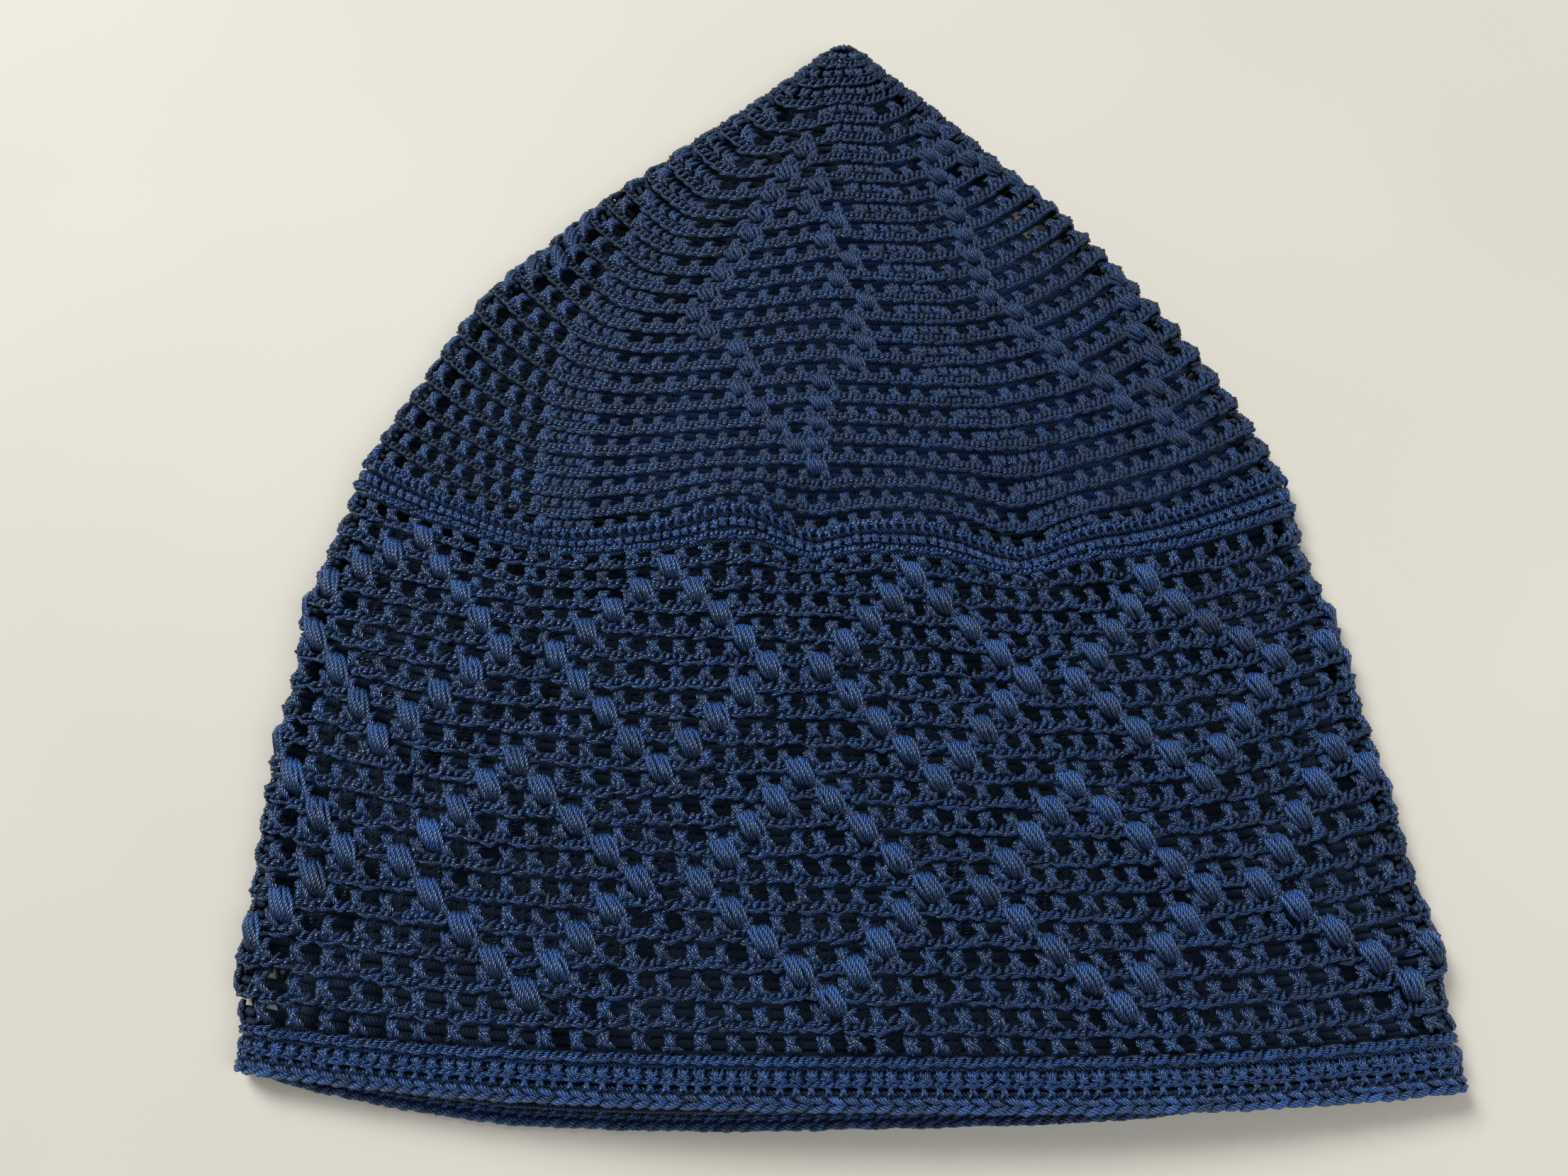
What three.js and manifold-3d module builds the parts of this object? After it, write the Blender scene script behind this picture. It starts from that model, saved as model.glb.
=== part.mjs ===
// A crocheted kufi, lying folded flat with its mouth towards -Y and its tip towards +Y.
// Millimetres, +Z up. The back layer lies on the plane z = 0 and the front layer domes over it.

import * as THREE from 'three';
import Module from 'manifold-3d';

// Driving dimensions

const WALL = 2.2;               // thickness of the crocheted wall
const SEAM_GAP = 0.3;           // clearance between one piece and the next
const ROUND_PITCH = 5.2;        // usual height of one round of stitches
const DOME_POWER = 1.2;         // how steeply the front layer rises from the folds
const ROW_POWER = 3;            // how flat each round runs between the folds
const WELT_RAISE = 1.3;         // how far the welt stands out of the wall
const WELT_SHOULDER = 0.15;     // share of the welt's half round that its two edges leave out
const BAND_RIB = 0.35;          // how far each dense round of the band stands out
const CORD_RAISE = 0.4;         // how far the edge cord stands out
const CORD_END_INSET = 0.7;     // how much the cord's end is rounded in, on each face
const CORD_SHOULDER = 0.3;      // share of the cord's height over which it rounds out
const TIP_CAP = 0.7;            // how far the crown's closing stitch stands past its last round
const TIP_WALL_ROUNDS = 0.5;    // thickness of the crown at the tip, in rounds

// Rounds of stitches, counted from the mouth

const CORD_TOP = 0.62;
const BAND_TOP = 2;
const SIDE_TOP = 21;
const WELT_TOP = 22.4;
const TIP_ROUND = 46.4;

// Eyelets of the lowest mesh round

const EYELET = { round: 2.5, count: 80, phase: 0.4, width: 2.9, height: 3.0, foldMargin: 5 };

// Steps of the solids' faces, across the layers and along the wall

const FRONT_STEPS = 36;
const BACK_STEPS = 14;
const FOLD_STEPS = 2;           // steps in each quarter of a fold
const BAND_STEPS = 4;           // two for each of its ribs
const SIDE_STEPS = 9;
const WELT_STEPS = 4;
const CROWN_STEPS = 12;

// Sections of the folded cap, from the mouth to the tip, one row per section.
// left and right are the two folds, frontY and backY the middles of the two layers,
// height the top of the front layer and foldHeight the height of the loop at each fold.

const SECTIONS = [
  { round: 0.0, leftX: -118.2, leftY: -114.5, rightX: 119.0, rightY: -118.0, frontY: -121.2, backY: -124.5,
    height: 13.0, foldHeight: 6.4 },
  { round: 2.0, leftX: -117.6, leftY: -105.4, rightX: 119.2, rightY: -107.0, frontY: -111.3, backY: -114.0,
    height: 13.2, foldHeight: 6.4 },
  { round: 11.5, leftX: -119.3, leftY: -44.9, rightX: 112.2, rightY: -48.2, frontY: -59.6, backY: -60.0,
    height: 15.0, foldHeight: 6.6 },
  { round: 19.5, leftX: -109.1, leftY: 1.2, rightX: 101.6, rightY: -6.4, frontY: -17.7, backY: -15.0,
    height: 18.5, foldHeight: 6.8 },
  { round: 21.7, leftX: -106.6, leftY: 12.3, rightX: 99.0, rightY: 5.9, frontY: -9.8, backY: -4.0,
    height: 20.0, foldHeight: 7.0 },
  { round: 25.5, leftX: -96.0, leftY: 33.0, rightX: 90.6, rightY: 28.5, frontY: 8.5, backY: 14.0,
    height: 19.5, foldHeight: 6.8 },
  { round: 29.6, leftX: -82.3, leftY: 56.6, rightX: 76.6, rightY: 53.6, frontY: 29.2, backY: 35.0,
    height: 17.5, foldHeight: 6.6 },
  { round: 38.2, leftX: -41.6, leftY: 91.1, rightX: 41.0, rightY: 92.0, frontY: 76.2, backY: 79.0,
    height: 12.5, foldHeight: 6.2 },
  { round: 44.4, leftX: -9.1, leftY: 119.2, rightX: 14.0, rightY: 119.2, frontY: 112.8, backY: 114.0,
    height: 7.8, foldHeight: 5.8 },
  { round: 46.4, leftX: -1.2, leftY: 124.4, rightX: 7.0, rightY: 124.4, frontY: 124.0, backY: 124.0,
    height: 6.0, foldHeight: 5.6 },
];

// Buckles of the front layer at the welt, one row per fold.
// x and round place it, halfWidth (mm) and spread (rounds) size it,
// towardMouth and lift are how far it pushes the cloth (mm).

const BUCKLES = [
  { x: -61.7, halfWidth: 15, round: 21.6, spread: 2.4, towardMouth: 2.9, lift: 0.8 },
  { x: -22.5, halfWidth: 11, round: 22.0, spread: 2.2, towardMouth: -3.4, lift: 1.6 },
  { x: -6.5, halfWidth: 7, round: 21.8, spread: 2.0, towardMouth: 2.6, lift: -1.0 },
  { x: -3.0, halfWidth: 9, round: 23.5, spread: 1.1, towardMouth: 0.0, lift: -2.2 },
  { x: 16.0, halfWidth: 12, round: 22.0, spread: 2.2, towardMouth: 0.0, lift: 1.2 },
  { x: 37.0, halfWidth: 11, round: 21.8, spread: 2.3, towardMouth: 5.0, lift: -1.0 },
  { x: 41.0, halfWidth: 12, round: 24.0, spread: 1.4, towardMouth: 1.0, lift: -2.4 },
  { x: 64.0, halfWidth: 14, round: 21.8, spread: 2.4, towardMouth: 1.5, lift: 1.0 },
];

// The surface of the cap

// Slope of one column of the table at a row, from the rows on both sides of it.
function columnSlope(row, column) {
  const before = SECTIONS[Math.max(row - 1, 0)];
  const after = SECTIONS[Math.min(row + 1, SECTIONS.length - 1)];
  return (after[column] - before[column]) / (after.round - before.round);
}

// Every column of the table at any round, on a smooth curve through the rows.
function sectionAt(round) {
  let row = 0;
  while (row < SECTIONS.length - 2 && SECTIONS[row + 1].round < round) row += 1;
  const low = SECTIONS[row];
  const high = SECTIONS[row + 1];
  const span = high.round - low.round;
  const t = (round - low.round) / span;
  const section = { round };
  for (const column of Object.keys(low)) {
    if (column === 'round') continue;
    const lowSlope = columnSlope(row, column) * span;
    const highSlope = columnSlope(row + 1, column) * span;
    section[column] = (2 * t ** 3 - 3 * t ** 2 + 1) * low[column]
      + (t ** 3 - 2 * t ** 2 + t) * lowSlope
      + (3 * t ** 2 - 2 * t ** 3) * high[column]
      + (t ** 3 - t ** 2) * highSlope;
  }
  return section;
}

// How far the buckles push the front layer at a place.
function buckleAt(x, round) {
  const push = { towardMouth: 0, lift: 0 };
  for (const buckle of BUCKLES) {
    const across = (x - buckle.x) / buckle.halfWidth;
    const along = (round - buckle.round) / buckle.spread;
    const strength = Math.exp(-(across ** 2) - along ** 2);
    push.towardMouth += buckle.towardMouth * strength;
    push.lift += buckle.lift * strength;
  }
  return push;
}

// Length of a section's half loop: its flat stretch and a quarter turn at each fold.
function loopLengths(section) {
  const radius = section.foldHeight / 2;
  const quarter = Math.PI * radius / 2;
  const flat = section.rightX - section.leftX - 2 * radius;
  return { radius, quarter, flat, half: flat + 2 * quarter };
}

// A point of the cloth: reach is the distance from the left fold over one layer,
// depth how far it lies inside the outer face.
function clothPoint(section, onFront, reach, depth) {
  const { radius, quarter, flat, half } = loopLengths(section);
  const inner = radius - depth;
  let x = section.leftX + radius + reach - quarter;
  let rise = inner;
  if (reach < quarter) {
    x = section.leftX + radius - inner * Math.cos(reach / radius);
    rise = inner * Math.sin(reach / radius);
  } else if (reach > quarter + flat) {
    x = section.rightX - radius + inner * Math.cos((half - reach) / radius);
    rise = inner * Math.sin((half - reach) / radius);
  }
  const centreX = (section.leftX + section.rightX) / 2;
  const across = (x - centreX) / (section.rightX - centreX);
  const belly = Math.max(1 - across ** 2, 0);
  const sag = Math.max(1 - Math.abs(across) ** ROW_POWER, 0);
  const meanFoldY = (section.leftY + section.rightY) / 2;
  const foldY = meanFoldY + across * (section.rightY - section.leftY) / 2;
  const middleY = onFront ? section.frontY : section.backY;
  const y = foldY + (middleY - meanFoldY) * sag;
  if (!onFront) return new THREE.Vector3(x, y, Math.max(radius - rise, 0));
  const push = buckleAt(x, section.round);
  const dome = (section.height - section.foldHeight) * belly ** DOME_POWER;
  const z = radius + rise + dome + push.lift * Math.sqrt(belly);
  return new THREE.Vector3(x, y - push.towardMouth * Math.sqrt(belly), z);
}

// The places round a section where the faces meet: over the front, then back under it.
function ringStops(section) {
  const { quarter, flat } = loopLengths(section);
  const layer = (onFront, steps) => {
    const stops = [];
    for (let k = 0; k < FOLD_STEPS; k += 1) stops.push({ onFront, reach: quarter * k / FOLD_STEPS });
    for (let k = 0; k <= steps; k += 1) stops.push({ onFront, reach: quarter + flat * k / steps });
    for (let k = 1; k <= FOLD_STEPS; k += 1) {
      stops.push({ onFront, reach: quarter + flat + quarter * k / FOLD_STEPS });
    }
    return stops;
  };
  const front = layer(true, FRONT_STEPS);
  const back = layer(false, BACK_STEPS);
  return [...front, ...back.slice(1, -1).reverse()];
}

function ring(round, depth) {
  const section = sectionAt(round);
  return ringStops(section).map((stop) => clothPoint(section, stop.onFront, stop.reach, depth));
}

// Solids

// Joins a list of rings into the walls of a closed mesh. Each wall runs from ring to ring.
class ShellMesh {
  constructor() {
    this.positions = [];
    this.faces = [];
  }

  addPoints(points) {
    const first = this.positions.length / 3;
    for (const point of points) this.positions.push(point.x, point.y, point.z);
    return points.map((_, k) => first + k);
  }

  strip(lower, upper) {
    for (let k = 0; k < lower.length; k += 1) {
      const next = (k + 1) % lower.length;
      this.faces.push(lower[k], lower[next], upper[next]);
      this.faces.push(lower[k], upper[next], upper[k]);
    }
  }

  fan(loop, centre, flipped) {
    const [apex] = this.addPoints([centre]);
    for (let k = 0; k < loop.length; k += 1) {
      const next = (k + 1) % loop.length;
      this.faces.push(...(flipped ? [loop[next], loop[k], apex] : [loop[k], loop[next], apex]));
    }
  }

  geometry() {
    const geometry = new THREE.BufferGeometry();
    geometry.setAttribute('position', new THREE.Float32BufferAttribute(this.positions, 3));
    geometry.setIndex(this.faces);
    return geometry;
  }
}

function middleOf(points) {
  const sum = points.reduce((total, point) => total.add(point), new THREE.Vector3());
  return sum.divideScalar(points.length);
}

// A tube of wall between two rounds. stations lists where its rings lie (0 to 1) and how deep
// the outer and the inner face are there.
function tubeOfWall(fromRound, toRound, stations) {
  const mesh = new ShellMesh();
  const rounds = stations.map((station) => fromRound + (toRound - fromRound) * station.t);
  const outer = stations.map((station, k) => mesh.addPoints(ring(rounds[k], station.outer)));
  const inner = stations.map((station, k) => mesh.addPoints(ring(rounds[k], station.inner)));
  const last = stations.length - 1;
  for (let k = 0; k < last; k += 1) {
    mesh.strip(outer[k], outer[k + 1]);
    mesh.strip(inner[k + 1], inner[k]);
  }
  mesh.strip(inner[0], outer[0]);
  mesh.strip(outer[last], inner[last]);
  return mesh.geometry();
}

// A wall closed at the tip: the last outer and inner rings end in a cap.
function cupOfWall(fromRound, tipRound, steps) {
  const mesh = new ShellMesh();
  const face = (endRound, depth) => Array.from({ length: steps + 1 }, (_, k) => (
    ring(fromRound + (endRound - fromRound) * k / steps, depth)));
  const outerRings = face(tipRound, 0);
  const innerRings = face(tipRound - TIP_WALL_ROUNDS, WALL);
  const outer = outerRings.map((points) => mesh.addPoints(points));
  const inner = innerRings.map((points) => mesh.addPoints(points));
  for (let k = 0; k < steps; k += 1) {
    mesh.strip(outer[k], outer[k + 1]);
    mesh.strip(inner[k + 1], inner[k]);
  }
  mesh.strip(inner[0], outer[0]);
  const outerEnd = middleOf(outerRings[steps]);
  outerEnd.y += TIP_CAP;
  mesh.fan(outer[steps], outerEnd, false);
  mesh.fan(inner[steps], middleOf(innerRings[steps]), true);
  return mesh.geometry();
}

function evenStations(count, outerAt) {
  const places = Array.from({ length: count + 1 }, (_, k) => k / count);
  return places.map((t) => ({ t, outer: outerAt(t), inner: WALL }));
}

// Cuts through the wall

const wasm = await Module();
wasm.setup();

function toSolid(geometry) {
  const vertProperties = new Float32Array(geometry.attributes.position.array);
  const triVerts = new Uint32Array(geometry.index.array);
  return new wasm.Manifold(new wasm.Mesh({ numProp: 3, vertProperties, triVerts }));
}

function toGeometry(solid) {
  const mesh = solid.getMesh();
  const geometry = new THREE.BufferGeometry();
  geometry.setAttribute('position', new THREE.Float32BufferAttribute(mesh.vertProperties, 3));
  geometry.setIndex(Array.from(mesh.triVerts));
  return geometry;
}

// A closed box with eight shared corners, x along the round, y along the wall, z through it.
function punchGeometry(width, height, depth) {
  const mesh = new ShellMesh();
  const corner = (x, y, z) => new THREE.Vector3(x * width / 2, y * height / 2, z * depth / 2);
  const level = (z) => [corner(-1, -1, z), corner(1, -1, z), corner(1, 1, z), corner(-1, 1, z)];
  const low = mesh.addPoints(level(-1));
  const high = mesh.addPoints(level(1));
  mesh.strip(low, high);
  mesh.faces.push(low[0], low[2], low[1], low[0], low[3], low[2]);
  mesh.faces.push(high[0], high[1], high[2], high[0], high[2], high[3]);
  return mesh.geometry();
}

// The punch of one eyelet, set square to the wall at its middle.
function eyeletPunch(onFront, reach) {
  const section = sectionAt(EYELET.round);
  const nextSection = sectionAt(EYELET.round + EYELET.height / ROUND_PITCH);
  const centre = clothPoint(section, onFront, reach, WALL / 2);
  const beside = clothPoint(section, onFront, reach + EYELET.width / 2, WALL / 2);
  const above = clothPoint(nextSection, onFront, reach, WALL / 2);
  const along = beside.sub(centre).normalize();
  const through = along.clone().cross(above.sub(centre)).normalize();
  const up = through.clone().cross(along);
  const punch = punchGeometry(EYELET.width, EYELET.height, 2 * WALL);
  punch.applyMatrix4(new THREE.Matrix4().makeBasis(along, up, through).setPosition(centre));
  return toSolid(punch);
}

function pierceEyelets(geometry) {
  const { half } = loopLengths(sectionAt(EYELET.round));
  const perLayer = EYELET.count / 2;
  let solid = toSolid(geometry);
  for (const onFront of [true, false]) {
    for (let k = 0; k < perLayer; k += 1) {
      const reach = half * (k + EYELET.phase) / perLayer;
      const nearFold = Math.min(reach, half - reach) < EYELET.foldMargin;
      if (!nearFold) solid = solid.subtract(eyeletPunch(onFront, reach));
    }
  }
  return toGeometry(solid);
}

// The pieces

const GAP_ROUNDS = SEAM_GAP / ROUND_PITCH;

function edgeCord() {
  const roll = [
    { t: 0.0, outer: CORD_END_INSET, inner: WALL - CORD_END_INSET },
    { t: CORD_SHOULDER, outer: -CORD_RAISE, inner: WALL },
    { t: 1 - CORD_SHOULDER, outer: -CORD_RAISE, inner: WALL },
    { t: 1.0, outer: 0, inner: WALL },
  ];
  return tubeOfWall(0, CORD_TOP, roll);
}

function band() {
  const ribs = evenStations(BAND_STEPS, (t) => -BAND_RIB * Math.abs(Math.sin(2 * Math.PI * t)));
  return tubeOfWall(CORD_TOP + GAP_ROUNDS, BAND_TOP, ribs);
}

function sideWall() {
  const plain = evenStations(SIDE_STEPS, () => 0);
  return pierceEyelets(tubeOfWall(BAND_TOP + GAP_ROUNDS, SIDE_TOP, plain));
}

function ridgeWelt() {
  const turn = (t) => Math.PI * (WELT_SHOULDER + (1 - 2 * WELT_SHOULDER) * t);
  const roll = evenStations(WELT_STEPS, (t) => -WELT_RAISE * Math.sin(turn(t)));
  return tubeOfWall(SIDE_TOP + GAP_ROUNDS, WELT_TOP, roll);
}

function crown() {
  return cupOfWall(WELT_TOP + GAP_ROUNDS, TIP_ROUND, CROWN_STEPS);
}

function thread(color) {
  return new THREE.MeshStandardMaterial({ color, roughness: 0.5, metalness: 0 });
}

const PIECES = [
  { name: 'edge_cord', shape: edgeCord, color: 0x1f2f5c },
  { name: 'band', shape: band, color: 0x1c2a52 },
  { name: 'side_wall', shape: sideWall, color: 0x1a284e },
  { name: 'ridge_welt', shape: ridgeWelt, color: 0x1f2f5c },
  { name: 'crown', shape: crown, color: 0x1a284e },
];

const kufi = new THREE.Group();
for (const piece of PIECES) {
  const mesh = new THREE.Mesh(piece.shape(), thread(piece.color));
  mesh.name = piece.name;
  kufi.add(mesh);
}

export default kufi;
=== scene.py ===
"""A crocheted kufi lying folded flat, with every stitch laid in twisted yarn over the CAD wall."""

import bpy
import numpy as np
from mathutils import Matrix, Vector


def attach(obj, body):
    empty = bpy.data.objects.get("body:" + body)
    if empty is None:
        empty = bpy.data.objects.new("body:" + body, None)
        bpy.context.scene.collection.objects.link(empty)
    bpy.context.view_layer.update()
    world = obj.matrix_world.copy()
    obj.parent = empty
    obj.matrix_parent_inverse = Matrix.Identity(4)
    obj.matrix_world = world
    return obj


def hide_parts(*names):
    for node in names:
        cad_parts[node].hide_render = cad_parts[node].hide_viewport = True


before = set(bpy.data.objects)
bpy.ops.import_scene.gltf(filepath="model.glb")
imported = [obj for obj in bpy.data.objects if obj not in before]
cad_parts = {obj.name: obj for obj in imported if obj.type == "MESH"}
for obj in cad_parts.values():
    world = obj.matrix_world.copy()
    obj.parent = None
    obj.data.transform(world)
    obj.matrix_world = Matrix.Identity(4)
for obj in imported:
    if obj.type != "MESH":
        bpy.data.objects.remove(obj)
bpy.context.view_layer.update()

MM = 0.001
LEAST_LENGTH = 1e-9          # a vector shorter than this has no direction
random = np.random.default_rng(11)

# The wall of the cap, in millimetres and rounds of stitches counted from the mouth

WALL = 2.2                   # its thickness
DOME_POWER = 1.2             # how the height of the front layer falls from its middle to the folds
ROW_POWER = 3                # and how the bow of a round does
SIDE_TOP = 21                # round where the welt starts
WELT_TOP = 22.4              # round where the crown starts
TIP_ROUND = 46.4             # round of the tip
RIGHT_FOLD = 0.5             # turn of the right fold, where the left one is at 0 and 1

# Sections from the mouth to the tip: the two folds, the middles of the two layers,
# the top of the front layer and the height of the loop at each fold

SECTION_COLUMNS = ("round", "left_x", "left_y", "right_x", "right_y", "front_y", "back_y", "top",
                   "fold_height")
SECTIONS = np.array([
    (0.0, -118.2, -114.5, 119.0, -118.0, -121.2, -124.5, 13.0, 6.4),
    (2.0, -117.6, -105.4, 119.2, -107.0, -111.3, -114.0, 13.2, 6.4),
    (11.5, -119.3, -44.9, 112.2, -48.2, -59.6, -60.0, 15.0, 6.6),
    (19.5, -109.1, 1.2, 101.6, -6.4, -17.7, -15.0, 18.5, 6.8),
    (21.7, -106.6, 12.3, 99.0, 5.9, -9.8, -4.0, 20.0, 7.0),
    (25.5, -96.0, 33.0, 90.6, 28.5, 8.5, 14.0, 19.5, 6.8),
    (29.6, -82.3, 56.6, 76.6, 53.6, 29.2, 35.0, 17.5, 6.6),
    (38.2, -41.6, 91.1, 41.0, 92.0, 76.2, 79.0, 12.5, 6.2),
    (44.4, -9.1, 119.2, 14.0, 119.2, 112.8, 114.0, 7.8, 5.8),
    (46.4, -1.2, 124.4, 7.0, 124.4, 124.0, 124.0, 6.0, 5.6),
])

# Buckles of the front layer at the welt: place across, half width, round, spread in rounds,
# push towards the mouth and lift

BUCKLES = np.array([
    (-61.7, 15, 21.6, 2.4, 2.9, 0.8),
    (-22.5, 11, 22.0, 2.2, -3.4, 1.6),
    (-6.5, 7, 21.8, 2.0, 2.6, -1.0),
    (-3.0, 9, 23.5, 1.1, 0.0, -2.2),
    (16.0, 12, 22.0, 2.2, 0.0, 1.2),
    (37.0, 11, 21.8, 2.3, 5.0, -1.0),
    (41.0, 12, 24.0, 1.4, 1.0, -2.4),
    (64.0, 14, 21.8, 2.4, 1.5, 1.0),
])

# Yarn and stitches: radii, lengths and lifts in millimetres, widths in cells, heights in rounds.
# A shade is a tone, where higher is lighter. Some shades are painted light and some painted shade, as said
# where they are set

YARN = 0.56                  # radius of the yarn
BAR_YARN = 0.52              # and where it is drawn tight in a bar
POST_YARN = 0.60             # radius of the doubled yarn of a post
UNDER_YARN = 1.08            # radius of the pressed yarn of the layer underneath
END_TAPER = 0.55             # share of the radius that is left at the ends of a strand
SEEN_SIDES = 5               # faces round a strand that shows
UNDER_SIDES = 4              # and round one that lies underneath
UNDER_TURNS = (0.53, 0.975)  # the part of a turn that lies underneath
UNDER_CORDS = (0.0, 0.33, 0.67)  # places of the pressed yarns in each round of the layer underneath
UNDER_PAST = 6.0             # how far they run past both folds
THIN_CORD = UNDER_CORDS[-1]  # the one that stops short where the floor shows through at a fold
CELLS = 80                   # mesh cells in one round of the side
LEAN = 0.045                 # how far each mesh round is shifted against the one above it (cells)
PLIES = 4
PLY_TURN = 3.3               # length of yarn for one turn of its plies
PLAIN_SHADE = 0.4            # shade of a stitch that has none of its own
CORD_SHADE = 0.3             # of a yarn that runs along a round
UNDER_PAINTED_LIGHT = 0.6            # and of the layer underneath, raised as painted light where it shows through the holes
TONE_SPREAD = 0.12           # spread of the shades of stitches and of their strands
INWARD_PAINTED_SHADE = 0.8             # painted shade: how much darker mesh yarn is painted on the side that faces into the cap
OUTWARD_STEP = 0.2           # step out of the wall that finds its direction there
LEAST_STEP = 1e-7            # a step shorter than this (m) is stopped by the floor
DOWN = np.array([0.0, 0.0, -1.0])
FOLD_NEAR = 5.0              # how near a fold stitches are pressed flat
FOLD_PRESS = 0.6             # share of their height that is pressed away there
SCALLOP = 0.4                # how far bars stand out at a fold, and the holes between them fall back
SCALLOP_FROM = (1.6, 2.6)    # rounds between which the even rim turns into scallops
SCALLOP_TO = (36.0, 41.0)    # and those between which they die away towards the tip
TIP_FREE = 2.0               # rounds below the tip that are pressed less and less
FOLD_FADE = (2.0, 10.0)      # where the pressed yarns take on their painted light past a fold
FOLD_SHADE = 0.2             # and their shade at the fold, without that painted light
CORD_STOP = 6.0              # length between the points of a yarn that runs along a round
CORD_LEAST_STOPS = 18
ALL_ROUND = (0.0, 1.0)       # the turns of a yarn or bar that runs all the way
BELOW_MOUTH = 5.0            # how far a strand hangs out past the mouth's edge, for each round
TIP_BULGE = 1.0              # how far the gathered tip stands out past the last round
SLIDE = (0.04, 0.025, 0.08)  # spread of the places of the stitches
BEND = (0.035, 0.025, 0.08)  # and of the points of their strands
BAR_LOOSE = 2.1              # how much less even a bar's legs are than the other stitches

# How the lying cloth has pulled its mesh out of line, by columns counted along a round from the left fold:
# how far the stitches of the chart lie to the right (cells), and how far the rounds sag (rounds)

PULL_COLUMNS = (0, 14, 24, 33, 40, 60, 80)
PULL_RIGHT = (1.9, 1.9, 1.2, 0.4, 0.4, 1.2, 1.9)
SAG_COLUMNS = (0, 20, 24, 27, 32, 39, 48, 80)
SAG = (0.12, 0.12, 0.32, 0.52, 0.72, 0.5, 0.12, 0.12)
SAG_ROUNDS = (2, 3, 5, 9.5, 13, 19, 21)
SAG_SHARE = (0.0, 0.5, 0.55, 0.8, 1.0, 1.0, 0.0)
CROWN_SAG_COLUMNS = (0, 4, 7, 10, 14, 20, 28, 38, 72, 80)
CROWN_SAG = (0.6, 1.1, 1.5, 1.3, 0.7, 0.1, 0.4, 0.0, 0.0, 0.6)
CROWN_SAG_ROUNDS = (17, 21, 26, 39, 46)
CROWN_SAG_SHARE = (0.0, 0.5, 1.0, 1.0, 0.0)

# How far the folds are pushed out by rounds (mm), which dies away along the cloth

LEFT_ROUNDS = (0, 2, 3.4, 5, 8, 13, 15.5, 20, 29, 32, 37, 42)
LEFT_OUT = (0.8, 1.6, 3.6, 1.8, 0.2, -1.6, 1.4, 0.0, -1.2, -0.8, 2.4, 0.0)
RIGHT_ROUNDS = (0, 3, 4.3, 6, 12.6, 16, 19, 22, 27, 30, 35)
RIGHT_OUT = (1.4, 0.0, 2.4, 0.0, -1.0, 0.8, 0.2, 2.0, -0.8, -2.4, 0.0)
PUSH_LENGTH = 22.0           # mm

# How far the mouth of the back layer hangs out past the front's, by the same columns (rounds)

HANG_COLUMNS = (40, 47, 51, 58, 64, 71, 77, 80)
HANG = (0.0, -0.45, -0.15, 0.1, 0.35, 0.5, 0.25, 0.0)
HANG_ROUNDS = (0, 3)
HANG_SHARE = (1.0, 0.0)


def unit(vectors):
    return vectors / np.maximum(np.linalg.norm(vectors, axis=-1, keepdims=True), LEAST_LENGTH)


# The cloth's surface


def section_at(rounds):
    """Every column of the sections at the given rounds, on a smooth curve through the rows."""
    knots, table = SECTIONS[:, 0], SECTIONS[:, 1:]
    count = np.arange(len(knots))
    before = np.maximum(count - 1, 0)
    after = np.minimum(count + 1, len(knots) - 1)
    slopes = (table[after] - table[before]) / (knots[after] - knots[before])[:, None]
    row = np.clip(np.searchsorted(knots, rounds) - 1, 0, len(knots) - 2)
    span = (knots[row + 1] - knots[row])[..., None]
    part = (rounds - knots[row])[..., None] / span
    start = (2 * part**3 - 3 * part**2 + 1) * table[row]
    leave = (part**3 - 2 * part**2 + part) * slopes[row] * span
    end = (3 * part**2 - 2 * part**3) * table[row + 1]
    arrive = (part**3 - part**2) * slopes[row + 1] * span
    return start + leave + end + arrive


def loop_length(rounds):
    """Length of a round, once about the cap (mm)."""
    section = dict(zip(SECTION_COLUMNS[1:], section_at(np.asarray(rounds, float))))
    width = section["right_x"] - section["left_x"]
    return 2 * (width - section["fold_height"]) + np.pi * section["fold_height"]


def buckle_push(x, rounds):
    """How far the buckles push the front layer towards the mouth, and lift it."""
    place, half_width, middle, spread, toward_mouth, lift = BUCKLES.T
    across = (x[..., None] - place) / half_width
    along = (rounds[..., None] - middle) / spread
    strength = np.exp(-across**2 - along**2)
    return strength @ toward_mouth, strength @ lift


def drift(column, rounds):
    """How far the cloth sags and hangs towards the mouth (rounds)."""
    sag = np.interp(column, SAG_COLUMNS, SAG) * np.interp(rounds, SAG_ROUNDS, SAG_SHARE)
    crown_share = np.interp(rounds, CROWN_SAG_ROUNDS, CROWN_SAG_SHARE)
    crown_sag = np.interp(column, CROWN_SAG_COLUMNS, CROWN_SAG) * crown_share
    hang = np.interp(column, HANG_COLUMNS, HANG) * np.interp(rounds, HANG_ROUNDS, HANG_SHARE)
    return sag + crown_sag + hang


def fold_push(rounds, from_left, from_right):
    """How far the outlines of the folds push the cloth to the right, by its way from both folds (mm)."""
    left = np.interp(rounds, LEFT_ROUNDS, LEFT_OUT) * np.exp(-(from_left / PUSH_LENGTH)**2)
    right = np.interp(rounds, RIGHT_ROUNDS, RIGHT_OUT) * np.exp(-(from_right / PUSH_LENGTH)**2)
    return right - left


def pressed_height(height, rounds, from_bar, from_fold):
    """Height out of the wall (mm), which is pressed flat near a fold, where bars stand out as scallops.
    from_bar is the way to a bar (rounds), and from_fold the way to the nearer fold (mm)."""
    near_fold = np.clip((TIP_ROUND - rounds) / TIP_FREE, 0, 1) * np.exp(-(from_fold / FOLD_NEAR)**2)
    scallop = np.interp(rounds, SCALLOP_FROM + SCALLOP_TO, (0.0, SCALLOP, SCALLOP, 0.0))
    scallop = scallop * np.cos(2 * np.pi * from_bar)
    return height + near_fold * (scallop - FOLD_PRESS * height)


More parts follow.
